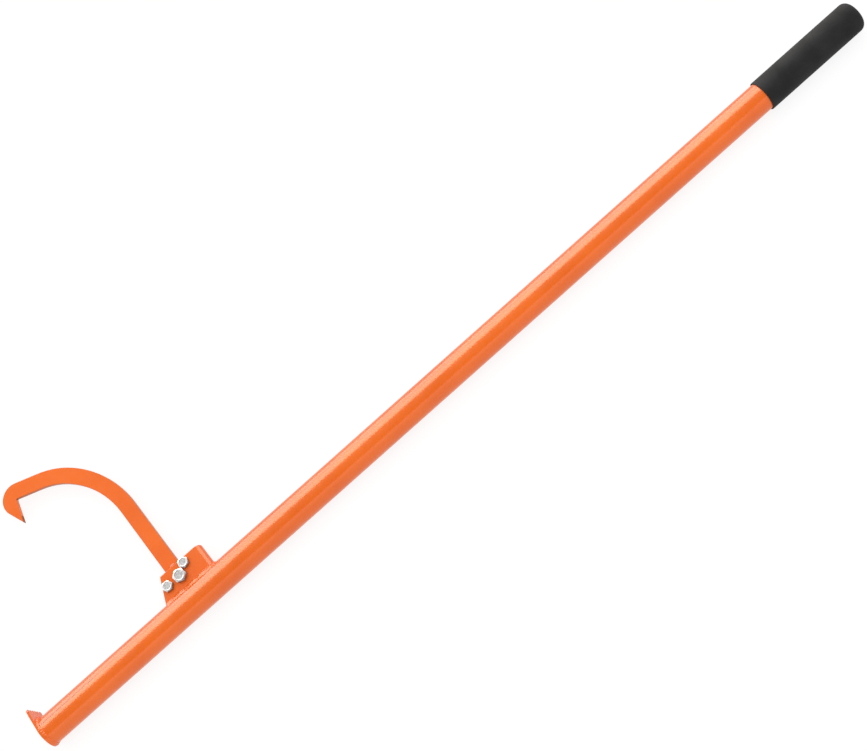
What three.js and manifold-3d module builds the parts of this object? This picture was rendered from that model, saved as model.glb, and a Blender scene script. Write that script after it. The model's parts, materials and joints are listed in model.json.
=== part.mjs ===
// Felling lever: a steel bar with a toothed toe plate, a swinging cant hook in a bent bracket
// and a rubber grip.
// Millimetres. +X runs along the bar from the toe to the grip, +Y points to the hook's side and +Z runs
// along the pivot bolt towards its head. The origin lies on the bar's axis, in the toe plate's outer face.

import * as THREE from 'three';
import { mergeVertices } from 'three/addons/utils/BufferGeometryUtils.js';
import Module from 'manifold-3d';

// Whole lever
const overallLength = 1330;
const seatGap = 0.3;
const cutOverrun = 5;
const roundSegments = 64;
const smallRoundSegments = 32;
const outlineSegments = 12;
const smallCornerSegments = 4;

// Bar: a straight round tube
const barRadius = 19;
const barWall = 2.5;

// Toe plate: a disk under the bar's end that runs out into a toothed tab on the hook's side
const toeThickness = 3;
const toeDiskRadius = 20.6;
const toeTabReach = 33.9;
const toeTabHalfWidth = 17.5;
const toeToothCount = 6;
const toeToothDepth = 2.2;
const toeNickDrop = 5;
const toeNickWidth = 2.4;
const toeNickDepth = 1.2;

// Toe weld: a bead round the bar's end, fuller under the tab
const toeWeldLength = 3.4;
const toeWeldHeight = 1.5;
const toeWeldTabHeight = 4;

// Cant hook: a flat bar bent round a log, with a claw at its end
const hookThickness = 6;
const hookWidth = 21.2;
const hookArmOffset = 3.9;
const hookEyeRadius = 11.5;
const hookShoulderHeight = 6;
const hookArmLength = 123.7;
const hookCrestRadius = 128;
const hookCrestDegrees = 42.3;
const hookKneeRadius = 101.8;
const hookKneeDegrees = 27;
const hookReachLength = 36.2;
const hookNoseRadius = 22.3;
const hookNoseSetback = 2.7;
const hookClawLength = 34.9;
const hookClawDegrees = 5.3;
const hookCornerRadius = 1.2;

// Bracket: a plate bent to a U round the hook's eye and welded to the bar
const bracketPlate = 4;
const bracketFootStart = 214.8;
const bracketTopStart = 229.5;
const bracketEnd = 292.6;
const bracketTop = 51.1;
const bracketCornerRadius = 1.5;

// Bracket welds: beads along both cheeks, begun a little behind their front edges, and round the bend
const bracketWeldInset = 3;
const bracketWeldLeg = 4;
const bracketWeldHeight = 3;
const bracketWeldCrown = 0.6;
const weldRipplePitch = 3.2;
const weldStationPitch = 1.6;
const weldRippleShare = 0.07;
const weldBreakDegrees = 6;

// Pivot: a hexagon bolt with a washer on each side of the hook and a lock nut
const pivotX = 251.6;
const pivotY = 33.2;
const pivotBoltRadius = 5;
const pivotAcrossFlats = 16;
const pivotHeadHeight = 6.4;
const pivotNutHeight = 10;
const pivotHeadDegrees = 39;
const pivotNutDegrees = 12;
const washerRadius = 10;
const washerThickness = 2;

// Stops: two smaller bolts that limit the hook's swing, placed from the pivot
const stopBoltRadius = 4;
const stopAcrossFlats = 13;
const stopHeadHeight = 5.3;
const stopNutHeight = 8;
const gripStopForward = 13;
const gripStopRise = 10.1;
const gripStopHeadDegrees = 16;
const gripStopNutDegrees = 47;
const toeStopBack = 20.1;
const toeStopDrop = 0.1;
const toeStopHeadDegrees = -4;
const toeStopNutDegrees = 25;

// Every bolt and lock nut
const boltTipReach = 2;
const headDishDepth = 0.7;
const headFlatShare = 0.94;
const cornerConeDegrees = 30;
const shankSeatShare = 0.5;
const headDishShare = 0.7;
const nutHexShare = 0.66;
const nutCollarShare = 0.96;
const nutCollarSeatShare = 0.25;
const nutCollarWall = 0.7;
const nutLip = 0.7;
const insertHeight = 2.2;

// Grip: a rubber sleeve with a closed, rounded end
const gripLength = 153.3;
const gripWall = 1.45;
const gripEndThickness = 9.5;
const gripEndRadius = 9;

// Places that follow from the sizes above
const hookGap = hookThickness / 2 + seatGap;
const cheekInside = hookGap + washerThickness + seatGap;
const cheekOutside = cheekInside + bracketPlate;
const bracketFoot = barRadius + seatGap;
const bendCentreX = bracketEnd - cheekOutside;
const weldRadius = barRadius + seatGap;
const gripRadius = barRadius + seatGap + gripWall;
const barEnd = overallLength - gripEndThickness - seatGap;
const pivotPlace = { x: pivotX, y: pivotY };
const gripStopPlace = { x: pivotX + gripStopForward, y: pivotY + gripStopRise };
const toeStopPlace = { x: pivotX - toeStopBack, y: pivotY - toeStopDrop };
const pivotSize = {
  radius: pivotBoltRadius,
  acrossFlats: pivotAcrossFlats,
  headHeight: pivotHeadHeight,
  nutHeight: pivotNutHeight,
};
const stopSize = {
  radius: stopBoltRadius,
  acrossFlats: stopAcrossFlats,
  headHeight: stopHeadHeight,
  nutHeight: stopNutHeight,
};

const orangePaint = { color: 0xf3702a, roughness: 0.28, metalness: 0 };
const zincPlate = { color: 0xc4c8cc, roughness: 0.35, metalness: 1 };
const blackRubber = { color: 0x2e2d2e, roughness: 0.8, metalness: 0 };
const paleNylon = { color: 0xd9dee2, roughness: 0.55, metalness: 0 };

const { degToRad } = THREE.MathUtils;
const quarterTurn = Math.PI / 2;

const wasm = await Module();
wasm.setup();

// Solids for cutting and joining

function toSolid(geometry) {
  const bare = geometry.clone();
  bare.deleteAttribute('normal');
  bare.deleteAttribute('uv');
  const merged = mergeVertices(bare);
  const corners = merged.index.array;
  const kept = [];
  for (let i = 0; i < corners.length; i += 3) {
    const [a, b, c] = corners.slice(i, i + 3);
    if (a !== b && b !== c && c !== a) {
      kept.push(a, b, c);
    }
  }
  return new wasm.Manifold(new wasm.Mesh({
    numProp: 3,
    vertProperties: new Float32Array(merged.attributes.position.array),
    triVerts: new Uint32Array(kept),
  }));
}

function toGeometry(solid) {
  const mesh = solid.getMesh();
  const indexed = new THREE.BufferGeometry();
  indexed.setAttribute('position', new THREE.BufferAttribute(mesh.vertProperties, 3));
  indexed.setIndex(new THREE.BufferAttribute(mesh.triVerts, 1));
  const geometry = indexed.toNonIndexed();
  geometry.computeVertexNormals();
  return geometry;
}

// A profile of [radius, height] pairs, turned about +Z
function turned(profile, segments) {
  const points = profile.map(([radius, height]) => new THREE.Vector2(radius, height));
  return new THREE.LatheGeometry(points, segments).rotateX(quarterTurn);
}

// A profile of [radius, x] pairs, turned about the bar's axis
function turnedOnBar(profile, segments) {
  return turned(profile, segments).rotateY(quarterTurn);
}

function ring(innerRadius, outerRadius, low, high, segments) {
  return turned([
    [innerRadius, low],
    [outerRadius, low],
    [outerRadius, high],
    [innerRadius, high],
    [innerRadius, low],
  ], segments);
}

function post(radius, low, high, segments) {
  return turned([[0, low], [radius, low], [radius, high], [0, high]], segments);
}

// An outline in X and Y, given depth along Z
function plate(shape, low, high) {
  const geometry = new THREE.ExtrudeGeometry(shape, {
    depth: high - low,
    bevelEnabled: false,
    curveSegments: outlineSegments,
  });
  return geometry.translate(0, 0, low);
}

// The angle at which a line from a point touches a circle, on the side given by +1 or -1
function touchAngle(centreX, centreY, radius, pointX, pointY, side) {
  const distance = Math.hypot(pointX - centreX, pointY - centreY);
  const toPoint = Math.atan2(pointY - centreY, pointX - centreX);
  return toPoint + side * Math.acos(radius / distance);
}

// Bar and toe

function barTube() {
  const start = toeThickness + seatGap;
  const inside = barRadius - barWall;
  return turnedOnBar([
    [inside, start],
    [barRadius, start],
    [barRadius, barEnd],
    [inside, barEnd],
    [inside, start],
  ], roundSegments);
}

// The outline is drawn with its first axis along +Z and its second along +Y, then stood on the bar's end
function toePlate() {
  const touch = touchAngle(0, 0, toeDiskRadius, toeTabHalfWidth, toeTabReach, -1);
  const toothPitch = 2 * toeTabHalfWidth / toeToothCount;
  const valley = toeTabReach - toeToothDepth;
  const nick = toeTabReach - toeNickDrop;
  const shape = new THREE.Shape();
  shape.absarc(0, 0, toeDiskRadius, Math.PI - touch, 2 * Math.PI + touch, false);
  const touchX = toeDiskRadius * Math.cos(touch);
  const touchY = toeDiskRadius * Math.sin(touch);
  const sideAt = (height) => {
    const along = (height - touchY) / (toeTabReach - touchY);
    return touchX + along * (toeTabHalfWidth - touchX);
  };
  const nickLow = nick - toeNickWidth / 2;
  const nickHigh = nick + toeNickWidth / 2;
  shape.lineTo(sideAt(nickLow), nickLow);
  shape.lineTo(sideAt(nick) - toeNickDepth, nick);
  shape.lineTo(sideAt(nickHigh), nickHigh);
  for (let tooth = 0; tooth < toeToothCount; tooth += 1) {
    const edge = toeTabHalfWidth - tooth * toothPitch;
    shape.lineTo(edge, valley);
    shape.lineTo(edge - toothPitch / 2, toeTabReach);
  }
  shape.lineTo(-toeTabHalfWidth, valley);
  shape.lineTo(-sideAt(nickHigh), nickHigh);
  shape.lineTo(toeNickDepth - sideAt(nick), nick);
  shape.lineTo(-sideAt(nickLow), nickLow);
  shape.closePath();
  return plate(shape, -toeThickness, 0).rotateY(-quarterTurn);
}

// A closed skin over rings of points, joined ring to ring
function lofted(rings, closed) {
  const positions = rings.flat().flatMap((point) => point.toArray());
  const count = rings[0].length;
  const index = [];
  const spans = closed ? rings.length : rings.length - 1;
  for (let i = 0; i < spans; i += 1) {
    const here = i * count;
    const next = ((i + 1) % rings.length) * count;
    for (let j = 0; j < count; j += 1) {
      const k = (j + 1) % count;
      index.push(here + j, here + k, next + k, here + j, next + k, next + j);
    }
  }
  if (!closed) {
    const last = (rings.length - 1) * count;
    for (let j = 1; j < count - 1; j += 1) {
      index.push(0, j + 1, j);
      index.push(last, last + j, last + j + 1);
    }
  }
  const geometry = new THREE.BufferGeometry();
  geometry.setAttribute('position', new THREE.Float32BufferAttribute(positions, 3));
  geometry.setIndex(index);
  return geometry;
}

function ripple(distance) {
  return 1 + weldRippleShare * Math.sin(2 * Math.PI * distance / weldRipplePitch);
}

// The bead's section is a quarter round between the plate's inner face and the bar
function toeWeld() {
  const root = toeThickness + seatGap;
  const around = 2 * Math.PI * weldRadius;
  const stations = Math.round(around / weldStationPitch);
  const rippleCount = Math.round(around / weldRipplePitch);
  const rings = [];
  for (let i = 0; i < stations; i += 1) {
    const turn = 2 * Math.PI * i / stations;
    const size = ripple(weldRipplePitch * rippleCount * i / stations);
    const fullness = Math.max(0, Math.cos(turn)) ** 3;
    const height = size * (toeWeldHeight + (toeWeldTabHeight - toeWeldHeight) * fullness);
    const length = size * toeWeldLength;
    const section = [[0, 0], [1, 0], [Math.SQRT1_2, Math.SQRT1_2], [0, 1]];
    rings.push(section.map(([lengthShare, heightShare]) => {
      const radius = weldRadius + heightShare * height;
      const along = root + lengthShare * length;
      return new THREE.Vector3(along, radius * Math.cos(turn), radius * Math.sin(turn));
    }));
  }
  return lofted(rings, true);
}

// Bracket and its welds

function bracketSection() {
  const shape = new THREE.Shape();
  shape.moveTo(bracketFootStart, -cheekOutside);
  shape.lineTo(bendCentreX, -cheekOutside);
  shape.absarc(bendCentreX, 0, cheekOutside, -quarterTurn, quarterTurn, false);
  shape.lineTo(bracketFootStart, cheekOutside);
  shape.lineTo(bracketFootStart, cheekInside);
  shape.lineTo(bendCentreX, cheekInside);
  shape.absarc(bendCentreX, 0, cheekInside, quarterTurn, -quarterTurn, true);
  shape.lineTo(bracketFootStart, -cheekInside);
  shape.closePath();
  return shape;
}

function bracketSide() {
  const shape = new THREE.Shape();
  shape.moveTo(bracketFootStart, bracketFoot);
  shape.lineTo(bracketEnd + cutOverrun, bracketFoot);
  shape.lineTo(bracketEnd + cutOverrun, bracketTop - bracketCornerRadius);
  shape.lineTo(bracketEnd, bracketTop - bracketCornerRadius);
  shape.absarc(
    bracketEnd - bracketCornerRadius,
    bracketTop - bracketCornerRadius,
    bracketCornerRadius,
    0,
    quarterTurn,
    false,
  );
  shape.lineTo(bracketTopStart, bracketTop);
  shape.closePath();
  return shape;
}

function throughHole(place, radius) {
  const reach = cheekOutside + cutOverrun;
  return toSolid(post(radius + seatGap, -reach, reach, smallRoundSegments).translate(place.x, place.y, 0));
}

function hookBracket() {
  const bent = plate(bracketSection(), 0, bracketTop + cutOverrun).rotateX(-quarterTurn);
  const side = plate(bracketSide(), -cheekOutside - cutOverrun, cheekOutside + cutOverrun);
  const outline = toSolid(bent).intersect(toSolid(side));
  const drilled = outline
    .subtract(throughHole(pivotPlace, pivotBoltRadius))
    .subtract(throughHole(gripStopPlace, stopBoltRadius))
    .subtract(throughHole(toeStopPlace, stopBoltRadius));
  return toGeometry(drilled);
}

// One section of a bead that lies in the corner between a wall and the bar.
// The wall's foot is at x and z, and the bead grows away from it along outX and outZ.
function beadSection(x, z, outX, outZ, size) {
  const leg = bracketWeldLeg * size;
  const onBar = (away) => {
    const beadZ = z + outZ * away;
    return new THREE.Vector3(x + outX * away, Math.sqrt(weldRadius ** 2 - beadZ ** 2), beadZ);
  };
  const top = new THREE.Vector3(x, bracketFoot + bracketWeldHeight * size, z);
  const toe = onBar(leg);
  const crown = top.clone().add(toe).multiplyScalar(1 / 2);
  crown.add(new THREE.Vector3(outX, 1, outZ).normalize().multiplyScalar(bracketWeldCrown * size));
  return [top, crown, toe, onBar(leg / 2), onBar(0)];
}

function cheekWeld(side) {
  const start = bracketFootStart + bracketWeldInset;
  const length = bendCentreX - start;
  const stations = Math.round(length / weldStationPitch);
  const wall = side * (cheekOutside + seatGap);
  const rings = [];
  for (let i = 0; i <= stations; i += 1) {
    const along = length * i / stations;
    const section = beadSection(start + along, wall, 0, side, ripple(along));
    rings.push(side > 0 ? section : section.reverse());
  }
  return lofted(rings, false);
}

function bendWeld() {
  const wallRadius = cheekOutside + seatGap;
  const reach = quarterTurn - degToRad(weldBreakDegrees);
  const stations = Math.round(2 * reach * wallRadius / weldStationPitch);
  const rings = [];
  for (let i = 0; i <= stations; i += 1) {
    const turn = reach - 2 * reach * i / stations;
    const outX = Math.cos(turn);
    const outZ = Math.sin(turn);
    const size = ripple((reach - turn) * wallRadius);
    rings.push(beadSection(bendCentreX + wallRadius * outX, wallRadius * outZ, outX, outZ, size));
  }
  return lofted(rings, false);
}

// Hook: drawn from the pivot, then cut from plate

function hookOutline() {
  const half = hookWidth / 2;
  const rightEdge = half - hookArmOffset;
  const leftEdge = -half - hookArmOffset;
  const crest = { x: -hookArmOffset - hookCrestRadius, y: hookArmLength };
  const crestTurn = degToRad(hookCrestDegrees);
  const knee = {
    x: crest.x + (hookCrestRadius - hookKneeRadius) * Math.cos(crestTurn),
    y: crest.y + (hookCrestRadius - hookKneeRadius) * Math.sin(crestTurn),
  };
  const kneeTurn = crestTurn + degToRad(hookKneeDegrees);
  const out = new THREE.Vector2(Math.cos(kneeTurn), Math.sin(kneeTurn));
  const ahead = new THREE.Vector2(-out.y, out.x);
  const insideEnd = new THREE.Vector2(knee.x, knee.y)
    .addScaledVector(out, hookKneeRadius - half)
    .addScaledVector(ahead, hookReachLength);
  const clawTurn = kneeTurn + Math.PI + degToRad(hookClawDegrees);
  const claw = new THREE.Vector2(Math.cos(clawTurn), Math.sin(clawTurn));
  const tip = insideEnd.clone().addScaledVector(claw, hookClawLength);
  const nose = insideEnd.clone()
    .addScaledVector(ahead, -hookNoseSetback)
    .addScaledVector(out, hookWidth - hookNoseRadius);
  const noseTouch = touchAngle(nose.x, nose.y, hookNoseRadius, tip.x, tip.y, -1);
  const eyeTurn = Math.acos(rightEdge / hookEyeRadius);
  const eyeTouch = touchAngle(0, 0, hookEyeRadius, leftEdge, hookShoulderHeight, 1);

  const shape = new THREE.Shape();
  shape.moveTo(rightEdge, hookEyeRadius * Math.sin(eyeTurn));
  shape.absarc(crest.x, crest.y, hookCrestRadius + half, 0, crestTurn, false);
  shape.absarc(knee.x, knee.y, hookKneeRadius + half, crestTurn, kneeTurn, false);
  shape.absarc(nose.x, nose.y, hookNoseRadius, kneeTurn, 2 * Math.PI + noseTouch, false);
  shape.lineTo(tip.x, tip.y);
  const beforeCorner = insideEnd.clone().addScaledVector(claw, hookCornerRadius);
  const afterCorner = insideEnd.clone().addScaledVector(ahead, -hookCornerRadius);
  shape.lineTo(beforeCorner.x, beforeCorner.y);
  shape.quadraticCurveTo(insideEnd.x, insideEnd.y, afterCorner.x, afterCorner.y);
  shape.absarc(knee.x, knee.y, hookKneeRadius - half, kneeTurn, crestTurn, true);
  shape.absarc(crest.x, crest.y, hookCrestRadius - half, crestTurn, 0, true);
  shape.lineTo(leftEdge, hookShoulderHeight);
  shape.absarc(0, 0, hookEyeRadius, eyeTouch, 2 * Math.PI + eyeTurn, false);
  shape.closePath();
  const hole = new THREE.Path();
  hole.absarc(0, 0, pivotBoltRadius + seatGap, 0, 2 * Math.PI, true);
  shape.holes.push(hole);
  return shape;
}

function cantHook() {
  return plate(hookOutline(), -hookThickness / 2, hookThickness / 2);
}

// Fasteners, drawn along +Z with the clamped plates between the head's seat and the nut's seat

function hexagon(acrossFlats, low, high, turnDegrees) {
  const corner = acrossFlats / Math.sqrt(3);
  const prism = new THREE.CylinderGeometry(corner, corner, high - low, 6);
  prism.rotateX(quarterTurn).rotateZ(degToRad(turnDegrees) - quarterTurn).translate(0, 0, (low + high) / 2);
  return toSolid(prism);
}

// A cone that takes the corners off a hexagon's far end
function cornerCone(acrossFlats, low, high) {
  const corner = acrossFlats / Math.sqrt(3);
  const flat = acrossFlats * headFlatShare / 2;
  const drop = (corner - flat) * Math.tan(degToRad(cornerConeDegrees));
  const profile = [[0, low], [corner, low], [corner, high - drop], [flat, high], [0, high]];
  return toSolid(turned(profile, smallRoundSegments));
}

function bolt(size, turnDegrees) {
  const seat = cheekOutside + seatGap;
  const headTop = seat + size.headHeight;
  const tip = -seat - size.nutHeight - boltTipReach;
  const tipChamfer = boltTipReach / 2;
  const shankEnd = seat + size.headHeight * shankSeatShare;
  const dishRadius = size.acrossFlats * headDishShare / 2;
  const head = hexagon(size.acrossFlats, seat, headTop, turnDegrees)
    .intersect(cornerCone(size.acrossFlats, seat, headTop));
  const dish = toSolid(turned([
    [0, headTop - headDishDepth],
    [dishRadius - headDishDepth, headTop - headDishDepth],
    [dishRadius, headTop],
    [dishRadius, headTop + cutOverrun],
    [0, headTop + cutOverrun],
  ], smallRoundSegments));
  const shank = toSolid(turned([
    [0, tip],
    [size.radius - tipChamfer, tip],
    [size.radius, tip + tipChamfer],
    [size.radius, shankEnd],
    [0, shankEnd],
  ], smallRoundSegments));
  return toGeometry(head.subtract(dish).add(shank));
}

// The heights along the nut: its hexagon, its collar, and the pocket that its insert sits in
function nutLevels(size) {
  const seat = cheekOutside + seatGap;
  const end = seat + size.nutHeight;
  const collarRadius = size.acrossFlats * nutCollarShare / 2;
  return {
    seat,
    end,
    collarRadius,
    collarLow: seat + size.nutHeight * nutCollarSeatShare,
    hexEnd: seat + size.nutHeight * nutHexShare,
    pocketHigh: end - nutLip,
    pocketLow: end - nutLip - insertHeight - 2 * seatGap,
    pocketRadius: collarRadius - nutCollarWall,
  };
}

function lockNut(size, turnDegrees) {
  const at = nutLevels(size);
  const lipRadius = at.pocketRadius - seatGap;
  const bore = size.radius + seatGap;
  const hex = hexagon(size.acrossFlats, at.seat, at.hexEnd, turnDegrees)
    .intersect(cornerCone(size.acrossFlats, at.seat, at.hexEnd));
  const collar = toSolid(turned([
    [0, at.collarLow],
    [at.collarRadius, at.collarLow],
    [at.collarRadius, at.pocketHigh],
    [lipRadius, at.end],
    [0, at.end],
  ], smallRoundSegments));
  const boreCut = toSolid(post(bore, at.seat - cutOverrun, at.end + cutOverrun, smallRoundSegments));
  const pocket = toSolid(post(at.pocketRadius, at.pocketLow, at.pocketHigh, smallRoundSegments));
  const nut = hex.add(collar).subtract(boreCut).subtract(pocket);
  return toGeometry(nut).rotateX(Math.PI);
}

function nutInsert(size) {
  const at = nutLevels(size);
  const inside = size.radius + seatGap;
  const low = at.pocketLow + seatGap;
  const insert = ring(inside, at.pocketRadius - seatGap, low, low + insertHeight, smallRoundSegments);
  return insert.rotateX(Math.PI);
}

function pivotWasher() {
  const bore = pivotBoltRadius + seatGap;
  return ring(bore, washerRadius, hookGap, hookGap + washerThickness, smallRoundSegments);
}

// Grip

function gripSleeve() {
  const open = overallLength - gripLength;
  const pocket = barRadius + seatGap;
  const pocketEnd = overallLength - gripEndThickness;
  const round = Math.min(gripEndRadius, gripEndThickness, gripRadius);
  const corner = new THREE.Path();
  corner.absarc(gripRadius - round, overallLength - round, round, 0, quarterTurn, false);
  const rounded = corner.getPoints(smallCornerSegments).map((point) => [point.x, point.y]);
  return turnedOnBar([
    [0, pocketEnd],
    [pocket, pocketEnd],
    [pocket, open],
    [gripRadius, open],
    ...rounded,
    [0, overallLength],
  ], roundSegments);
}

// Assembly

function piece(parent, name, geometry, finish, place) {
  const mesh = new THREE.Mesh(geometry, new THREE.MeshStandardMaterial(finish));
  mesh.name = name;
  if (place) {
    mesh.position.set(place.x, place.y, 0);
  }
  parent.add(mesh);
}

function fastener(parent, name, size, place, headTurn, nutTurn) {
  piece(parent, `${name}_bolt`, bolt(size, headTurn), zincPlate, place);
  piece(parent, `${name}_nut`, lockNut(size, nutTurn), zincPlate, place);
  piece(parent, `${name}_nut_insert`, nutInsert(size), paleNylon, place);
}

const fellingLever = new THREE.Group();
fellingLever.name = 'felling_lever';

piece(fellingLever, 'bar_tube', barTube(), orangePaint);
piece(fellingLever, 'toe_plate', toePlate(), orangePaint);
piece(fellingLever, 'toe_weld', toeWeld(), orangePaint);
piece(fellingLever, 'hook_bracket', hookBracket(), orangePaint);
piece(fellingLever, 'bracket_weld_near', cheekWeld(1), orangePaint);
piece(fellingLever, 'bracket_weld_far', cheekWeld(-1), orangePaint);
piece(fellingLever, 'bracket_weld_bend', bendWeld(), orangePaint);
piece(fellingLever, 'cant_hook', cantHook(), orangePaint, pivotPlace);
piece(fellingLever, 'pivot_washer_near', pivotWasher(), zincPlate, pivotPlace);
piece(fellingLever, 'pivot_washer_far', pivotWasher().rotateX(Math.PI), zincPlate, pivotPlace);
fastener(fellingLever, 'pivot', pivotSize, pivotPlace, pivotHeadDegrees, pivotNutDegrees);
fastener(fellingLever, 'grip_stop', stopSize, gripStopPlace, gripStopHeadDegrees, gripStopNutDegrees);
fastener(fellingLever, 'toe_stop', stopSize, toeStopPlace, toeStopHeadDegrees, toeStopNutDegrees);
piece(fellingLever, 'grip_sleeve', gripSleeve(), blackRubber);

export default fellingLever;
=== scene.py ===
import json
import math

import bmesh
import bpy
from mathutils import Matrix, Vector, noise

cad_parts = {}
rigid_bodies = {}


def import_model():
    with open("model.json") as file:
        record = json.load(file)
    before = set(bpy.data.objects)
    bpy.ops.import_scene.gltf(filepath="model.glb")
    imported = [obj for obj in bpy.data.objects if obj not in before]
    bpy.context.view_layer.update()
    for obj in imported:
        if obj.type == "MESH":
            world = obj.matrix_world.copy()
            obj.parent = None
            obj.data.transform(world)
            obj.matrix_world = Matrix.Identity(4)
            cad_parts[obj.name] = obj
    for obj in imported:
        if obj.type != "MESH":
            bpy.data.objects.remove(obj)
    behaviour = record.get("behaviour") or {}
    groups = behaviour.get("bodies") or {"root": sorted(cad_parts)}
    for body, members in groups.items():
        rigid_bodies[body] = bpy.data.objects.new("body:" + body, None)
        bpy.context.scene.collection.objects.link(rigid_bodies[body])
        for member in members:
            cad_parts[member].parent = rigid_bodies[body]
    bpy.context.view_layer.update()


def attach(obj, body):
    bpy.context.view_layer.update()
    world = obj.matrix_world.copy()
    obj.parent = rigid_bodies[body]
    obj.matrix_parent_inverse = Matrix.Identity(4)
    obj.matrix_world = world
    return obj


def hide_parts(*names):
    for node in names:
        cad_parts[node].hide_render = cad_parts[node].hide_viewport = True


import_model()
print("frame loaded")

# All sizes are in millimetres, in the frame's own directions: X along the bar from toe to grip,
# Y to the hook's side, Z along the pivot bolt towards its head

metresPerMm = 0.001
quarterTurn = math.pi / 2
fullTurn = 2 * math.pi
samePoint = 0.001  # points this close are merged
sameLine = 0.01  # points this close lie on one line or plane
sharpAbove = 50  # degrees, for the edges of plate and tube that are rounded
smoothing = {"plain": 38, "hexagon": 34, "grip": 50, "bead": 60}  # degrees, shading stays sharp above them

wholeLever = {"length": 1330, "seatGap": 0.3, "holeAround": 32, "holeRim": 1}
pivot = {"x": 251.6, "y": 33.2}
bar = {"radius": 19, "wall": 2.5, "start": 3.05, "end": 1320.2, "edge": 0.4, "edgeSteps": 2,
       "around": 192}
# The seam's colour is painted shade laid along its groove
seam = {"turn": 73, "length": 150, "depth": 0.3, "rise": 3, "pitch": 5, "halfWidth": 1.6,
        "darkShare": 0.6, "colour": "#6b2408"}


# Pen: an outline grows from one vertex by straight runs and by arcs

def vertsOf(geometry):
    return [item for item in geometry if isinstance(item, bmesh.types.BMVert)]


def wholeOf(bm):
    return bm.verts[:] + bm.edges[:] + bm.faces[:]


def startPath(bm, x, y, z=0):
    return bm.verts.new((x, y, z))


def lineTo(bm, vert, x, y, z=0):
    new = bmesh.ops.extrude_vert_indiv(bm, verts=[vert])["verts"][0]
    new.co = (x, y, z)
    return new


def arcBy(bm, vert, centre, degrees, steps):
    spun = bmesh.ops.spin(bm, geom=[vert], cent=centre, axis=(0, 0, 1), angle=math.radians(degrees),
                          steps=steps, use_duplicate=False)
    return vertsOf(spun["geom_last"])[0]


def touchAngle(centre, radius, point, side):
    # Where on a circle a straight line from the point touches it
    away = Vector(point) - Vector(centre)
    return math.atan2(away.y, away.x) + side * math.acos(radius / away.length)


def addHole(bm, x, y, boltRadius):
    ring = bmesh.ops.create_circle(bm, segments=wholeLever["holeAround"], cap_ends=False,
                                   radius=boltRadius + wholeLever["seatGap"])["verts"]
    bmesh.ops.translate(bm, vec=(x, y, 0), verts=ring)


def fillFlat(bm):
    # One flat skin inside the outline and outside its holes
    bmesh.ops.remove_doubles(bm, verts=bm.verts, dist=samePoint)
    bmesh.ops.triangle_fill(bm, use_beauty=True, use_dissolve=True, edges=bm.edges)


def pushOut(bm, offset):
    # The flat skin becomes a plate
    out = bmesh.ops.extrude_face_region(bm, geom=bm.faces[:])
    bmesh.ops.translate(bm, vec=offset, verts=vertsOf(out["geom"]))
    bmesh.ops.recalc_face_normals(bm, faces=bm.faces)


def drawOut(bm, cap, isFirst):
    # Only the first cap stays, as the end that the shape starts from
    out = bmesh.ops.extrude_face_region(bm, geom=[cap])["geom"]
    if not isFirst:
        bmesh.ops.delete(bm, geom=[cap], context="FACES_ONLY")
    return vertsOf(out), [item for item in out if isinstance(item, bmesh.types.BMFace)][0]


def turned(bm, profile, segments, centre=(0, 0, 0), axis="Z"):
    # A lathe: a profile of (radius, height) is turned about an axis
    place = {"X": lambda r, h: (h, r, 0), "Z": lambda r, h: (r, 0, h)}[axis]
    verts = [bm.verts.new(Vector(centre) + Vector(place(r, h))) for r, h in profile]
    edges = [bm.edges.new(pair) for pair in zip(verts, verts[1:])]
    bmesh.ops.spin(bm, geom=verts + edges, cent=centre, axis={"X": (1, 0, 0), "Z": (0, 0, 1)}[axis],
                   angle=fullTurn, steps=segments, use_merge=True, use_duplicate=False)
    bmesh.ops.remove_doubles(bm, verts=bm.verts, dist=samePoint)


def liesFlat(edge):
    return abs(edge.verts[0].co.z - edge.verts[1].co.z) < sameLine


def sharpEdges(bm, keep):
    return [edge for edge in bm.edges if len(edge.link_faces) == 2
            and edge.calc_face_angle() > math.radians(sharpAbove) and keep(edge)]


def roundEdges(bm, edges, size, segments):
    bmesh.ops.bevel(bm, geom=edges, offset=size, offset_type="OFFSET", affect="EDGES", segments=segments,
                    profile=0.5, material=-1, clamp_overlap=True)


def pieceName(nodeName):
    return nodeName.title().replace("_", "")


def finishPiece(bm, nodeName, body, materials, smoothDegrees=smoothing["plain"], weighted=True):
    bmesh.ops.remove_doubles(bm, verts=bm.verts, dist=samePoint)
    bmesh.ops.recalc_face_normals(bm, faces=bm.faces)
    bmesh.ops.scale(bm, vec=(metresPerMm, metresPerMm, metresPerMm), verts=bm.verts)
    mesh = bpy.data.meshes.new(pieceName(nodeName))
    bm.to_mesh(mesh)
    bm.free()
    mesh.shade_smooth()
    mesh.set_sharp_from_angle(angle=math.radians(smoothDegrees))
    for material in materials:
        mesh.materials.append(material)
    piece = bpy.data.objects.new(pieceName(nodeName), mesh)
    bpy.context.scene.collection.objects.link(piece)
    if weighted:
        normals = piece.modifiers.new("faceNormals", "WEIGHTED_NORMAL")
        normals.keep_sharp = True
    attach(piece, body)
    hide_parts(nodeName)


# Finishes

colourA, colourB, colourOut = 6, 7, 2  # where a Mix node keeps its two colours and their mixture


def linearColour(hexText):
    values = [int(hexText[i:i + 2], 16) / 255 for i in (1, 3, 5)]
    return tuple(v / 12.92 if v <= 0.04045 else ((v + 0.055) / 1.055) ** 2.4 for v in values) + (1,)


def feed(tree, node, inputs):
    # Inputs by name or in order, each a plain value or another node's output
    for key, value in inputs.items() if isinstance(inputs, dict) else enumerate(inputs):
        if isinstance(value, bpy.types.NodeSocket):
            tree.links.new(value, node.inputs[key])
        else:
            node.inputs[key].default_value = value


def addNode(tree, kind, inputs=(), **settings):
    node = tree.nodes.new("ShaderNode" + kind)
    for key, value in settings.items():
        setattr(node, key, value)
    feed(tree, node, inputs)
    return node.outputs


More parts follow.
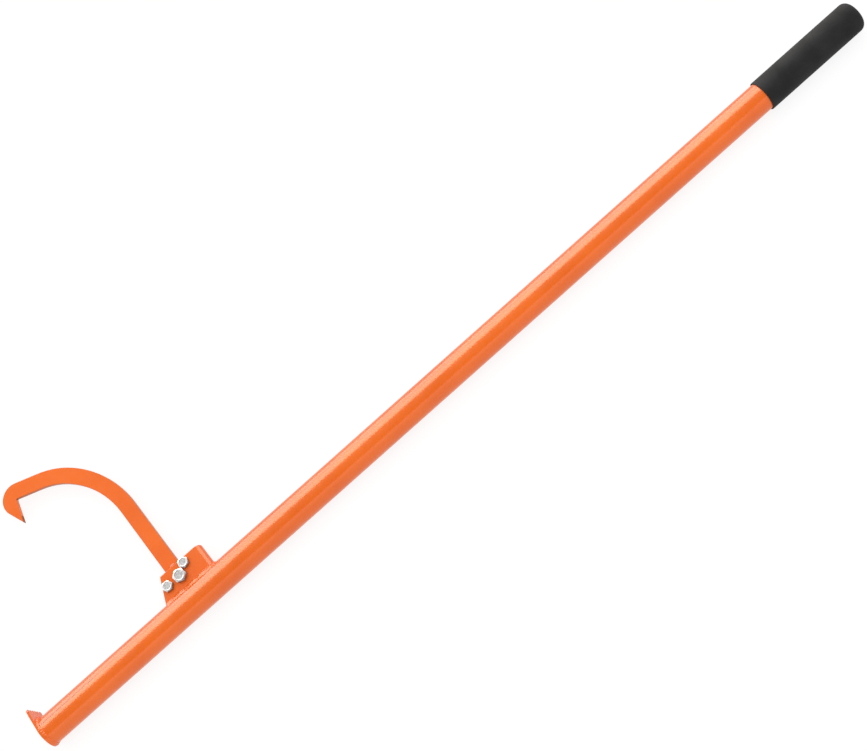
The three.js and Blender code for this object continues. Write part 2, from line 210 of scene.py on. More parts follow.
def pattern(place, featureMm, **more):
    # What a pattern takes for features of this size, on coordinates in metres
    return {"Vector": place, "Scale": 1 / (featureMm * metresPerMm), **more}


def newMaterial(name, baseColour):
    material = bpy.data.materials.new(name)
    material.use_nodes = True
    tree = material.node_tree
    shader = tree.nodes["Principled BSDF"]
    shader.inputs["Base Color"].default_value = linearColour(baseColour)
    return material, tree, shader, addNode(tree, "TexCoord")["Object"]


def layColour(tree, shader, share, hexText):
    # Another colour over what the shader has, as far as share says
    base = shader.inputs["Base Color"]
    under = base.links[0].from_socket if base.is_linked else base.default_value[:]
    over = addNode(tree, "Mix", {"Factor": share, colourA: under, colourB: linearColour(hexText)},
                   data_type="RGBA")[colourOut]
    tree.links.new(over, base)


paint = {
    "deep": "#e96616", "colour": "#f16e1b", "cloudMm": 60, "cloudRange": (0.3, 0.7),
    "nibTintAndEdgeShade": "#f58143", "dustMm": 0.7, "dustRange": (0.66, 0.8), "dustShare": 0.35,
    "roughness": (0.17, 0.26), "smearMm": 9, "smearRange": (0.3, 0.75), "ior": 1.5,
    "peelMm": 2.6, "peelDepthMm": 0.0015, "lumpMm": 2, "lumpDepthMm": 0.07, "lumpStrength": 0.9,
}


def glossPaint(name, overWeld=False):
    # Sprayed gloss enamel on steel: an even orange, a faint orange peel, nibs of dust under the gloss
    material, tree, shader, place = newMaterial(name, paint["deep"])
    cloud = addNode(tree, "TexNoise", pattern(place, paint["cloudMm"], Detail=2))["Fac"]
    share = addNode(tree, "MapRange", (cloud, *paint["cloudRange"]))["Result"]
    layColour(tree, shader, share, paint["colour"])
    dust = addNode(tree, "TexNoise", pattern(place, paint["dustMm"], Detail=2))["Fac"]
    nibs = addNode(tree, "MapRange", (dust, *paint["dustRange"], 0, paint["dustShare"]))["Result"]
    layColour(tree, shader, nibs, paint["nibTintAndEdgeShade"])
    smear = addNode(tree, "TexNoise", pattern(place, paint["smearMm"], Detail=4))["Fac"]
    gloss = addNode(tree, "MapRange", (smear, *paint["smearRange"], *paint["roughness"]))["Result"]
    peel = addNode(tree, "TexNoise", pattern(place, paint["peelMm"], Detail=1))["Fac"]
    relief = addNode(tree, "Bump", {"Height": peel,
                                    "Distance": paint["peelDepthMm"] * metresPerMm})["Normal"]
    if overWeld:
        lumps = addNode(tree, "TexNoise", pattern(place, paint["lumpMm"], Detail=3))["Fac"]
        relief = addNode(tree, "Bump", {"Height": lumps, "Distance": paint["lumpDepthMm"] * metresPerMm,
                                        "Strength": paint["lumpStrength"], "Normal": relief})["Normal"]
    feed(tree, shader, {"Roughness": gloss, "IOR": paint["ior"], "Normal": relief})
    return material, tree, shader, place


def seamShadePaint():
    # The same gloss enamel, with painted shade: a dark line laid along the tube's welded seam groove near
    # the toe
    material, tree, shader, place = glossPaint("orangePaintOnTube")
    # Turned so that Y points out through the seam and Z runs across it
    seamPlace = addNode(tree, "Mapping", {"Vector": place, "Rotation": (-math.radians(seam["turn"]), 0, 0)})
    way = addNode(tree, "SeparateXYZ", (seamPlace["Vector"],))
    across = addNode(tree, "Math", (way["Z"],), operation="ABSOLUTE")["Value"]
    line = addNode(tree, "MapRange", (across, 0, seam["halfWidth"] * metresPerMm, 1, 0))["Result"]
    outside = addNode(tree, "MapRange", (way["Y"], 0, bar["radius"] * metresPerMm / 2))["Result"]
    length = seam["length"] * metresPerMm
    nearToe = addNode(tree, "MapRange", (way["X"], seam["darkShare"] * length, length, 1, 0))["Result"]
    for share in (outside, nearToe):
        line = addNode(tree, "Math", (line, share), operation="MULTIPLY")["Value"]
    # Squared, so that the line fades softly at its sides
    line = addNode(tree, "Math", (line, line), operation="MULTIPLY")["Value"]
    layColour(tree, shader, line, seam["colour"])
    return material


# Painted shade for the hook's cut edges: a darker brown laid on in patches
edgeShadeLook = {"colour": "#b8602c", "patchMm": 7, "patchRange": (0.3, 0.6), "patchShare": (0.5, 1),
             "gloss": 0.25}


def edgeShadePaint():
    # The same enamel on the hook's cut edges, painted a darker brown in patches as painted shade, and dull
    material, tree, shader, place = glossPaint("orangePaintWithEdgeShade")
    patch = addNode(tree, "TexNoise", pattern(place, edgeShadeLook["patchMm"], Detail=3))["Fac"]
    nibTintAndEdgeShade = addNode(tree, "MapRange", (patch, *edgeShadeLook["patchRange"], *edgeShadeLook["patchShare"]))["Result"]
    layColour(tree, shader, nibTintAndEdgeShade, edgeShadeLook["colour"])
    feed(tree, shader, {"Specular IOR Level": edgeShadeLook["gloss"]})
    return material


paleSpot = {"x": 249, "y": 55.4, "z": 3, "halfLength": 3.4, "halfWidth": 0.8, "halfDepth": 1, "turn": 3,
         "colour": "#e8a98f", "raggedMm": 0.9, "raggedness": 0.5, "rim": (1.32, 1.12)}


def paleSpotPaint():
    # The same gloss enamel, with one small pale spot on the hook just above the cheek's top edge
    material, tree, shader, place = glossPaint("orangePaintWithPaleSpot")
    lens = addNode(tree, "Mapping", {
        "Vector": place,
        "Location": [paleSpot[name] * metresPerMm for name in ("x", "y", "z")],
        "Rotation": (0, 0, math.radians(paleSpot["turn"])),
        "Scale": [paleSpot[name] * metresPerMm for name in ("halfLength", "halfWidth", "halfDepth")],
    }, vector_type="TEXTURE")["Vector"]
    away = addNode(tree, "VectorMath", (lens,), operation="LENGTH")["Value"]
    grain = addNode(tree, "TexNoise", pattern(place, paleSpot["raggedMm"], Detail=4))["Fac"]
    ragged = addNode(tree, "Math", (grain, paleSpot["raggedness"], away), operation="MULTIPLY_ADD")["Value"]
    spot = addNode(tree, "MapRange", (ragged, *paleSpot["rim"]))["Result"]
    layColour(tree, shader, spot, paleSpot["colour"])
    return material


zinc = {
    "rim": {"name": "brightZincPlate", "colour": "#f4f4f3", "dull": "#dcdcdc", "roughness": 0.42},
    "dish": {"name": "stampedZincPlate", "colour": "#e2e2e3", "dull": "#b0b0b2", "roughness": 0.5},
    # The sides' darker colours are painted shade
    "side": {"name": "zincPlateWithPaintedShade", "colour": "#b9b7b5", "dull": "#918f8e", "roughness": 0.5},
    "mottleMm": 2.2, "mottleRange": (0.35, 0.65), "mottleDepthMm": 0.12, "mottleStrength": 0.6,
    "glossRange": (0.3, 0.7), "duller": 0.12, "glossier": 0.04, "pitMm": 0.5, "pitDepthMm": 0.03,
}


def zincPlate(part):
    # Bright zinc plate on forged steel: silver, lightly mottled, with the die's fine grain under it
    look = zinc[part]
    material, tree, shader, place = newMaterial(look["name"], look["dull"])
    mottle = addNode(tree, "TexNoise", pattern(place, zinc["mottleMm"], Detail=4, Roughness=0.65))["Fac"]
    share = addNode(tree, "MapRange", (mottle, *zinc["mottleRange"]))["Result"]
    layColour(tree, shader, share, look["colour"])
    gloss = addNode(tree, "MapRange", (mottle, *zinc["glossRange"], look["roughness"] + zinc["duller"],
                                       look["roughness"] - zinc["glossier"]))["Result"]
    pits = addNode(tree, "TexNoise", pattern(place, zinc["pitMm"], Detail=3))["Fac"]
    relief = addNode(tree, "Bump", {"Height": pits, "Distance": zinc["pitDepthMm"] * metresPerMm})["Normal"]
    relief = addNode(tree, "Bump", {"Height": mottle, "Distance": zinc["mottleDepthMm"] * metresPerMm,
                                    "Strength": zinc["mottleStrength"], "Normal": relief})["Normal"]
    feed(tree, shader, {"Metallic": 1, "Roughness": gloss, "Normal": relief})
    return material


rubber = {"colour": "#1a1a1b", "worn": "#212022", "smudgeMm": 26, "smudgeRange": (0.35, 0.7), "ior": 1.42,
          "glossRange": (0.3, 0.7), "roughness": (0.9, 0.79), "cellMm": 0.55, "cellDepthMm": 0.09,
          "cellStrength": 0.5}


def foamRubber():
    # Moulded nitrile foam: matt near-black skin with fine cells, whose air keeps its gloss low
    material, tree, shader, place = newMaterial("blackFoamRubber", rubber["colour"])
    smudge = addNode(tree, "TexNoise", pattern(place, rubber["smudgeMm"], Detail=3))["Fac"]
    share = addNode(tree, "MapRange", (smudge, *rubber["smudgeRange"]))["Result"]
    layColour(tree, shader, share, rubber["worn"])
    gloss = addNode(tree, "MapRange", (smudge, *rubber["glossRange"], *rubber["roughness"]))["Result"]
    cells = addNode(tree, "TexVoronoi", pattern(place, rubber["cellMm"]))["Distance"]
    relief = addNode(tree, "Bump", {"Height": cells, "Distance": rubber["cellDepthMm"] * metresPerMm,
                                    "Strength": rubber["cellStrength"]})["Normal"]
    feed(tree, shader, {"Roughness": gloss, "IOR": rubber["ior"], "Normal": relief})
    return material


nylonLook = {"colour": "#d3d8da", "pale": "#e4e7e8", "cloudMm": 2.5, "depthMm": 0.05, "strength": 0.5,
             "roughness": 0.45, "ior": 1.53}


def mouldedNylon():
    # Natural nylon, moulded: milky, with a dull, faintly uneven skin
    material, tree, shader, place = newMaterial("naturalNylon", nylonLook["colour"])
    cloud = addNode(tree, "TexNoise", pattern(place, nylonLook["cloudMm"], Detail=3))["Fac"]
    layColour(tree, shader, cloud, nylonLook["pale"])
    relief = addNode(tree, "Bump", {"Height": cloud, "Distance": nylonLook["depthMm"] * metresPerMm,
                                    "Strength": nylonLook["strength"]})["Normal"]
    feed(tree, shader, {"Roughness": nylonLook["roughness"], "IOR": nylonLook["ior"], "Normal": relief})
    return material


rust = {"colour": "#7c3a1c", "worn": "#b06238", "scratchMm": 1.8, "squeeze": (1, 6, 6), "depthMm": 0.05,
        "strength": 0.8, "roughness": 0.6, "gloss": 0.25}


def rustedSteel():
    # Steel where use took the paint off: browned by rust, dull, with fine scratches across the edge
    material, tree, shader, place = newMaterial("rustedSteel", rust["colour"])
    across = addNode(tree, "Mapping", {"Vector": place, "Scale": rust["squeeze"]})["Vector"]
    scratch = addNode(tree, "TexNoise", pattern(across, rust["scratchMm"], Detail=5, Roughness=0.7))["Fac"]
    layColour(tree, shader, scratch, rust["worn"])
    relief = addNode(tree, "Bump", {"Height": scratch, "Distance": rust["depthMm"] * metresPerMm,
                                    "Strength": rust["strength"]})["Normal"]
    feed(tree, shader, {"Roughness": rust["roughness"], "Specular IOR Level": rust["gloss"],
                        "Normal": relief})
    return material


orange = glossPaint("orangeGlossPaint")[0]
orangeWeld = glossPaint("orangePaintOverWeld", overWeld=True)[0]
orangeBar = seamShadePaint()
orangeWithEdgeShade = edgeShadePaint()
orangeHook = paleSpotPaint()
silver, stamped, shadedSides = [zincPlate(part) for part in ("rim", "dish", "side")]
black = foamRubber()
nylon = mouldedNylon()
bareTip = rustedSteel()
print("finishes made")


# Bar: a welded tube, its seam a shallow groove near the toe

def makeBar():
    bm = bmesh.new()
    inside = bar["radius"] - bar["wall"]
    turned(bm, [(inside, bar["start"]), (bar["radius"], bar["start"]), (bar["radius"], bar["end"]),
                (inside, bar["end"]), (inside, bar["start"])], bar["around"], axis="X")
    step = fullTurn / bar["around"]
    turn = round(math.radians(seam["turn"]) / step) * step
    seamY, seamZ = bar["radius"] * math.cos(turn), bar["radius"] * math.sin(turn)

    def onSeam(vert):
        return math.hypot(vert.co.y - seamY, vert.co.z - seamZ) < sameLine

    seamEdges = [edge for edge in bm.edges if all(onSeam(vert) for vert in edge.verts)]
    bmesh.ops.subdivide_edges(bm, edges=seamEdges, cuts=round((bar["end"] - bar["start"]) / seam["pitch"]))
    for vert in bm.verts:
        if onSeam(vert):
            # Full depth at first, then it rises to nothing
            depth = seam["depth"] * min(1, seam["rise"] * max(0, 1 - vert.co.x / seam["length"]))
            vert.co.y -= depth * math.cos(turn)
            vert.co.z -= depth * math.sin(turn)
    rim = sharpEdges(bm, lambda edge: abs(edge.verts[0].co.x - edge.verts[1].co.x) < samePoint)
    roundEdges(bm, rim, bar["edge"], bar["edgeSteps"])
    finishPiece(bm, "bar_tube", "lever", [orangeBar])


# Toe plate: a disk with a toothed tab, cut from plate

toe = {"thick": 3, "diskRadius": 20.58, "tabReach": 33.9, "tabHalfWidth": 17.5, "teeth": 6,
       "toothDepth": 2.2, "nickDrop": 5, "nickWidth": 2.4, "nickDepth": 1.2, "edge": 0.45, "edgeSteps": 2,
       "diskSteps": 60}


def makeToePlate():
    # Drawn with the first direction along Z and the second along Y
    bm = bmesh.new()
    half, reach = toe["tabHalfWidth"], toe["tabReach"]
    touch = touchAngle((0, 0), toe["diskRadius"], (half, reach), -1)
    touchX, touchY = toe["diskRadius"] * math.cos(touch), toe["diskRadius"] * math.sin(touch)

    def sideAt(height):
        return touchX + (height - touchY) / (reach - touchY) * (half - touchX)

    nick = reach - toe["nickDrop"]
    nickLow, nickHigh = nick - toe["nickWidth"] / 2, nick + toe["nickWidth"] / 2
    sidePath = [(sideAt(nickLow), nickLow), (sideAt(nick) - toe["nickDepth"], nick),
                (sideAt(nickHigh), nickHigh)]
    pitch = 2 * half / toe["teeth"]
    valley = reach - toe["toothDepth"]
    teeth = []
    for tooth in range(toe["teeth"]):
        start = half - tooth * pitch
        teeth += [(start, valley), (start - pitch / 2, reach)]
    teeth.append((-half, valley))
    vert = startPath(bm, -touchX, touchY)
    vert = arcBy(bm, vert, (0, 0, 0), 180 + math.degrees(2 * touch), toe["diskSteps"])
    for x, y in sidePath + teeth + [(-x, y) for x, y in reversed(sidePath)] + [(-touchX, touchY)]:
        vert = lineTo(bm, vert, x, y)
    fillFlat(bm)
    pushOut(bm, (0, 0, -toe["thick"]))
    roundEdges(bm, sharpEdges(bm, liesFlat), toe["edge"], toe["edgeSteps"])
    bmesh.ops.rotate(bm, cent=(0, 0, 0), matrix=Matrix.Rotation(-quarterTurn, 3, "Y"), verts=bm.verts)
    finishPiece(bm, "toe_plate", "lever", [orange])


# Bolts stand where the hook turns and where its arm is stopped; every hole follows them

bolts = {
    "pivot": {"x": pivot["x"], "y": pivot["y"], "radius": 5, "flats": 16, "head": 6.4, "nut": 10,
              "headTurn": 39, "nutTurn": 12, "pitch": 1.5},
    "grip_stop": {"x": pivot["x"] + 13, "y": pivot["y"] + 10.1, "radius": 4, "flats": 13, "head": 5.3,
                  "nut": 8, "headTurn": 16, "nutTurn": 47, "pitch": 1.25},
    "toe_stop": {"x": pivot["x"] - 20.1, "y": pivot["y"] - 0.1, "radius": 4, "flats": 13, "head": 5.3,
                 "nut": 8, "headTurn": -4, "nutTurn": 25, "pitch": 1.25},
}
holeRim = bolts["pivot"]["radius"] + wholeLever["holeRim"]  # edges nearer to a bolt are its hole's


# Bracket: one plate bent round the hook's eye, its foot cut to lie on the bar

bracket = {"plate": 4, "cheekInside": 5.6, "footStart": 214.8, "topStart": 229.5, "end": 292.6, "top": 51.1,
           "corner": 1.5, "edge": 0.9, "edgeSteps": 3, "bendSteps": 24, "near": 0.1}
bracket["cheekOutside"] = bracket["cheekInside"] + bracket["plate"]
bracket["bendX"] = bracket["end"] - bracket["cheekOutside"]


def makeBracket():
    bm = bmesh.new()
    foot = bar["radius"] + wholeLever["seatGap"]
    corners = [(bracket["footStart"], foot), (bracket["bendX"], foot), (bracket["bendX"], bracket["top"]),
               (bracket["topStart"], bracket["top"]), (bracket["footStart"], foot)]
    vert = startPath(bm, *corners[0])
    for corner in corners[1:]:
        vert = lineTo(bm, vert, *corner)
    for size in bolts.values():
        addHole(bm, size["x"], size["y"], size["radius"])
    fillFlat(bm)
    bmesh.ops.translate(bm, vec=(0, 0, bracket["cheekOutside"]), verts=bm.verts)
    bendEdge = [edge for edge in bm.edges
                if all(abs(end.co.x - bracket["bendX"]) < sameLine for end in edge.verts)]
    far = bmesh.ops.duplicate(bm, geom=wholeOf(bm))["geom"]
    bmesh.ops.scale(bm, vec=(1, 1, -1), verts=vertsOf(far))
    bmesh.ops.spin(bm, geom=bendEdge + [end for edge in bendEdge for end in edge.verts],
                   cent=(bracket["bendX"], 0, 0), axis=(0, 1, 0), angle=math.pi, steps=bracket["bendSteps"],
                   use_duplicate=False)
    bmesh.ops.remove_doubles(bm, verts=bm.verts, dist=samePoint)
    bmesh.ops.recalc_face_normals(bm, faces=bm.faces)
    if max(bm.faces, key=lambda face: face.calc_center_median().z).normal.z < 0:
        bmesh.ops.reverse_faces(bm, faces=bm.faces)
    bmesh.ops.solidify(bm, geom=bm.faces[:], thickness=bracket["plate"])
    bmesh.ops.recalc_face_normals(bm, faces=bm.faces)
    cornerX = bracket["end"] - bracket["corner"]
    near = bracket["near"]
    for vert in bm.verts:
        if vert.co.y > bracket["top"] - near and vert.co.x > cornerX:
            drop = vert.co.x - cornerX
            vert.co.y -= bracket["corner"] - math.sqrt(max(0, bracket["corner"] ** 2 - drop ** 2))
        if vert.co.y < foot + near:
            vert.co.y = math.sqrt(bar["radius"] ** 2 - vert.co.z ** 2)

    def onRim(edge):
        middle = (edge.verts[0].co + edge.verts[1].co) / 2
        inHole = any(math.hypot(middle.x - size["x"], middle.y - size["y"]) < holeRim
                     for size in bolts.values())
        return middle.y > foot + 2 * near and not inHole

    roundEdges(bm, sharpEdges(bm, onRim), bracket["edge"], bracket["edgeSteps"])
    finishPiece(bm, "hook_bracket", "lever", [orange])


# Welds: a bead is swept along the joint, draped over the bar and made uneven

weld = {"width": 3.9, "height": 2.9, "slump": 1.2, "inset": 2.6, "overlap": 0.8, "sink": 0.35,
        "ripple": 3.2, "rippleDepth": 0.2, "lump": 7, "lumpDepth": 1.1, "grain": 1.9, "grainDepth": 0.4,
        "step": 0.5, "bendSteps": 80, "arcSteps": 8}


def roughen(bm, along):
    # along gives the distance along the bead of a point on it
    bm.normal_update()
    moves = []
    for vert in bm.verts:
        lump = noise.noise(vert.co / weld["lump"])
        grain = noise.noise(vert.co / weld["grain"])
        ripple = math.sin(fullTurn * along(vert.co) / weld["ripple"] + lump)
        moves.append(weld["rippleDepth"] * ripple + weld["lumpDepth"] * lump + weld["grainDepth"] * grain)
    for vert, move in zip(bm.verts, moves):
        vert.co += vert.normal * move


def drapeOnBar(bm):
    for vert in bm.verts:
        vert.co.y += math.sqrt(max(0, bar["radius"] ** 2 - vert.co.z ** 2)) - weld["sink"]


def beadSection(bm, x, side):
    # From the wall's foot, over the bead, to the bar, and back under the wall
    wall = bracket["cheekOutside"] - weld["sink"]
    width, height = weld["width"] + weld["sink"], weld["height"] + weld["sink"]
    vert = lineTo(bm, startPath(bm, x, 0, side * wall), x, height, side * wall)
    for step in range(1, weld["arcSteps"]):
        turn = quarterTurn * step / weld["arcSteps"]
        vert = lineTo(bm, vert, x, height * math.cos(turn) ** weld["slump"],
                      side * (wall + width * math.sin(turn) ** weld["slump"]))
    lineTo(bm, vert, x, 0, side * (wall + width))
    bmesh.ops.contextual_create(bm, geom=bm.verts[:])


def finishBead(bm, nodeName):
    finishPiece(bm, nodeName, "lever", [orangeWeld], smoothing["bead"], False)


def makeCheekWeld(side, nodeName):
    bm = bmesh.new()
    start, end = bracket["footStart"] + weld["inset"], bracket["bendX"] + weld["overlap"]
    beadSection(bm, start, side)
    steps = round((end - start) / weld["step"])
    cap = bm.faces[:][0]
    for step in range(steps):
        verts, cap = drawOut(bm, cap, step == 0)
        bmesh.ops.translate(bm, vec=((end - start) / steps, 0, 0), verts=verts)
    bmesh.ops.recalc_face_normals(bm, faces=bm.faces)
    roughen(bm, lambda point: side * (point.x - bracket["bendX"]))
    drapeOnBar(bm)
    finishBead(bm, nodeName)


def makeBendWeld():
    bm = bmesh.new()
    beadSection(bm, bracket["bendX"], 1)
    bmesh.ops.spin(bm, geom=wholeOf(bm), cent=(bracket["bendX"], 0, 0), axis=(0, 1, 0), angle=math.pi,
                   steps=weld["bendSteps"], use_duplicate=False)
    bmesh.ops.recalc_face_normals(bm, faces=bm.faces)
    reach = bracket["cheekOutside"] + weld["width"] / 2
    roughen(bm, lambda point: reach * (quarterTurn - math.atan2(point.z, point.x - bracket["bendX"])))
    drapeOnBar(bm)
    finishBead(bm, "bracket_weld_bend")


toeWeld = {"length": 3.3, "height": 1.5, "tabHeight": 4, "tabFocus": 3, "bite": 0.3, "around": 220}


def makeToeWeld():
    # Drawn 1 mm high, then raised, most under the tab
    bm = bmesh.new()
    inner = bar["radius"] - weld["sink"]
    start = toe["thick"] - toeWeld["bite"]
    vert = lineTo(bm, startPath(bm, start, inner), start, inner + 1)
    for step in range(1, weld["arcSteps"]):
        turn = quarterTurn * step / weld["arcSteps"]
        vert = lineTo(bm, vert, toe["thick"] + toeWeld["length"] * math.sin(turn), inner + math.cos(turn))
    vert = lineTo(bm, vert, toe["thick"] + toeWeld["length"], inner)
    lineTo(bm, vert, start, inner)
    bmesh.ops.spin(bm, geom=wholeOf(bm), cent=(0, 0, 0), axis=(1, 0, 0), angle=fullTurn,
                   steps=toeWeld["around"], use_merge=True, use_duplicate=False)
    bmesh.ops.remove_doubles(bm, verts=bm.verts, dist=samePoint)
    for vert in bm.verts:
        radius = math.hypot(vert.co.y, vert.co.z)
        underTab = max(0, math.cos(math.atan2(vert.co.z, vert.co.y))) ** toeWeld["tabFocus"]
        height = toeWeld["height"] + (toeWeld["tabHeight"] - toeWeld["height"]) * underTab
        raised = inner + (radius - inner) * height
        vert.co.y *= raised / radius
        vert.co.z *= raised / radius
    bmesh.ops.recalc_face_normals(bm, faces=bm.faces)
    roughen(bm, lambda point: bar["radius"] * math.atan2(point.z, point.y))
    finishBead(bm, "toe_weld")


# Hook: a flat bar bent round a log, with a sharpened claw

hook = {"thick": 6, "width": 21.18, "armOffset": 3.9, "eyeRadius": 11.5, "shoulder": 6, "armLength": 123.7,
        "crestRadius": 128, "crestTurn": 42.3, "kneeRadius": 101.8, "kneeTurn": 27, "reach": 36.2,
        "noseRadius": 22.3, "noseSetback": 2.7, "claw": 34.9, "clawTurn": 5.3, "corner": 1.2,
        "edge": 0.6, "edgeSteps": 3, "ground": 10, "onClaw": 0.1, "crestSteps": 26, "kneeSteps": 9,
        "noseSteps": 34, "eyeSteps": 30}


def unit(degrees):
    return Vector((math.cos(math.radians(degrees)), math.sin(math.radians(degrees))))


def hookPoints():
    # Places from the pivot, in the hook's plane
    half = hook["width"] / 2
    crest = Vector((-hook["armOffset"] - hook["crestRadius"], hook["armLength"]))
    knee = crest + unit(hook["crestTurn"]) * (hook["crestRadius"] - hook["kneeRadius"])
    turn = hook["crestTurn"] + hook["kneeTurn"]
    out, ahead = unit(turn), unit(turn + 90)
    inside = knee + out * (hook["kneeRadius"] - half) + ahead * hook["reach"]
    clawWay = unit(turn + 180 + hook["clawTurn"])
    tip = inside + clawWay * hook["claw"]
    nose = inside - ahead * hook["noseSetback"] + out * (hook["width"] - hook["noseRadius"])
    return {"half": half, "crest": crest, "knee": knee, "turn": turn, "out": out, "ahead": ahead,
            "inside": inside, "clawWay": clawWay, "tip": tip, "nose": nose}


def makeHook():
    bm = bmesh.new()
    p = hookPoints()
    eye = hook["eyeRadius"]
    right, left = p["half"] - hook["armOffset"], -p["half"] - hook["armOffset"]
    eyeTurn = math.acos(right / eye)
    eyeTouch = touchAngle((0, 0), eye, (left, hook["shoulder"]), 1)
    noseTouch = touchAngle(p["nose"], hook["noseRadius"], p["tip"], -1)
    crest, knee, nose = (p[name].to_3d() for name in ("crest", "knee", "nose"))
    # Out along the arm's grip side, over the crest and round the nose to the tip
    vert = startPath(bm, right, eye * math.sin(eyeTurn))
    vert = lineTo(bm, vert, right, hook["armLength"])
    vert = arcBy(bm, vert, crest, hook["crestTurn"], hook["crestSteps"])
    vert = arcBy(bm, vert, knee, hook["kneeTurn"], hook["kneeSteps"])
    vert = lineTo(bm, vert, *(p["nose"] + p["out"] * hook["noseRadius"]))
    vert = arcBy(bm, vert, nose, math.degrees(fullTurn + noseTouch) - p["turn"], hook["noseSteps"])
    # Back along the claw, round its rounded corner and under the crest to the eye
    groundStart = p["tip"] - p["clawWay"] * hook["ground"]
    beforeCorner = p["inside"] + p["clawWay"] * hook["corner"]
    afterCorner = p["inside"] - p["ahead"] * hook["corner"]
    middle = (beforeCorner + 2 * p["inside"] + afterCorner) / 4
    for point in (p["tip"], groundStart, beforeCorner, middle, afterCorner,
                  p["knee"] + p["out"] * (hook["kneeRadius"] - p["half"])):
        vert = lineTo(bm, vert, *point)
    vert = arcBy(bm, vert, knee, -hook["kneeTurn"], hook["kneeSteps"])
    vert = arcBy(bm, vert, crest, -hook["crestTurn"], hook["crestSteps"])
    vert = lineTo(bm, vert, left, hook["shoulder"])
    vert = lineTo(bm, vert, eye * math.cos(eyeTouch), eye * math.sin(eyeTouch))
    arcBy(bm, vert, (0, 0, 0), 360 + math.degrees(eyeTurn - eyeTouch), hook["eyeSteps"])
    addHole(bm, 0, 0, bolts["pivot"]["radius"])
    fillFlat(bm)
    bmesh.ops.translate(bm, vec=(0, 0, -hook["thick"] / 2), verts=bm.verts)
    pushOut(bm, (0, 0, hook["thick"]))
    for face in bm.faces:
        # The cut edges get painted shade, the claw's inner side keeps the full coat, and its point is bare
        fromTip = face.calc_center_median().to_2d() - p["tip"]
        isCut = abs(face.normal.z) < 0.5
        onClaw = abs(fromTip.cross(p["clawWay"])) <= hook["onClaw"]
        if isCut and not onClaw:
            face.material_index = 2
        elif isCut and fromTip.length < hook["ground"]:
            face.material_index = 1
    rim = sharpEdges(bm, lambda edge: liesFlat(edge) and edge.verts[0].co.to_2d().length > holeRim)
    roundEdges(bm, rim, hook["edge"], hook["edgeSteps"])
    bmesh.ops.translate(bm, vec=(pivot["x"], pivot["y"], 0), verts=bm.verts)
    finishPiece(bm, "cant_hook", "hook", [orangeHook, bareTip, orangeWithEdgeShade])


# Hexagons: bolt heads and nuts grow ring by ring, and each ring tells (radius, height) for an angle

hexagon = {"around": 72, "flatShare": 0.95, "coneTurn": 30, "burr": 0.25, "seat": 0.05}


def hexRadius(flats, angle, turn):
    sixth = fullTurn / 6
    return flats / 2 / math.cos((angle - turn) % sixth - sixth / 2)


def roundRings(places):
    return [lambda angle, place=place: place for place in places]


def hexRings(flats, low, high, turn, bothEnds):
    # A hexagon whose corners are turned off to a cone, at its far end or at both
    flat = flats * hexagon["flatShare"] / 2
    slope = math.tan(math.radians(hexagon["coneTurn"]))
    burr = hexagon["burr"]

    def atHex(height, way):
        def place(angle):
            radius = hexRadius(flats, angle, turn)
            return radius, height - way * slope * max(0, radius - flat)
        return place

    if bothEnds:
        start = roundRings([(flat, low)]) + [atHex(low, -1)]
    else:
        start = [lambda angle: (hexRadius(flats, angle, turn) - burr, low),
                 lambda angle: (hexRadius(flats, angle, turn), low + burr)]
    return start + [atHex(high, 1)] + roundRings([(flat, high)])


def placeRing(verts, ring):
    for vert in verts:
        angle = math.atan2(vert.co.y, vert.co.x)
        radius, height = ring(angle)
        vert.co = (radius * math.cos(angle), radius * math.sin(angle), height)


def growRings(bm, rings):
    verts = bmesh.ops.create_circle(bm, segments=hexagon["around"], radius=1, cap_ends=True)["verts"]
    placeRing(verts, rings[0])
    cap = bm.faces[:][0]
    for number, ring in enumerate(rings[1:]):
        verts, cap = drawOut(bm, cap, number == 0)
        placeRing(verts, ring)


# Bolts: forged heads with a stamped dish, and a real screw thread at the tip

head = {"dishShare": 0.72, "dishDepth": 0.25, "lipWidth": 0.35, "lipDrop": 0.12,
        "slope": ((0.6, 0.75), (1.3, 1)), "floorShare": 1.05, "floorRings": (0.45, 0.1), "overlap": 0.2}
thread = {"tipReach": 2, "startGap": 2, "rootShare": 0.6, "crestShares": (0.4, 0.55), "leadIn": 1.5,
          "chamferShare": 0.2, "around": 36, "overlap": 0.4}


def makeBolt(name):
    size = bolts[name]
    seat = bracket["cheekOutside"] + hexagon["seat"]
    top = seat + size["head"] + wholeLever["seatGap"] - hexagon["seat"]
    dish = size["flats"] * head["dishShare"] / 2
    deep = head["dishDepth"]
    floor = top - deep * head["floorShare"]
    dishPlaces = [(dish + head["lipWidth"], top), (dish, top - head["lipDrop"])]
    dishPlaces += [(dish - deep * inwards, top - deep * down) for inwards, down in head["slope"]]
    dishPlaces += [(dish * share, floor) for share in head["floorRings"]]
    bm = bmesh.new()
    hexPart = hexRings(size["flats"], seat, top, math.radians(size["headTurn"]), False)
    growRings(bm, hexPart + roundRings(dishPlaces))
    cornerReach = size["flats"] * (1 / math.cos(fullTurn / 12) - hexagon["flatShare"]) / 2
    coneDrop = cornerReach * math.tan(math.radians(hexagon["coneTurn"]))
    for face in bm.faces:
        # The stamped dish is duller than the rim, and the sides are painted darker still, as painted shade
        middle = face.calc_center_median()
        if middle.z < top - coneDrop:
            face.material_index = 2
        elif middle.to_2d().length < dish:
            face.material_index = 1
    tip = -bracket["cheekOutside"] - wholeLever["seatGap"] - size["nut"] - thread["tipReach"]
    addShank(bm, size, tip, seat + head["overlap"])
    bmesh.ops.translate(bm, vec=(size["x"], size["y"], 0), verts=bm.verts)
    finishPiece(bm, f"{name}_bolt", "lever", [silver, stamped, shadedSides],
                smoothing["hexagon"])


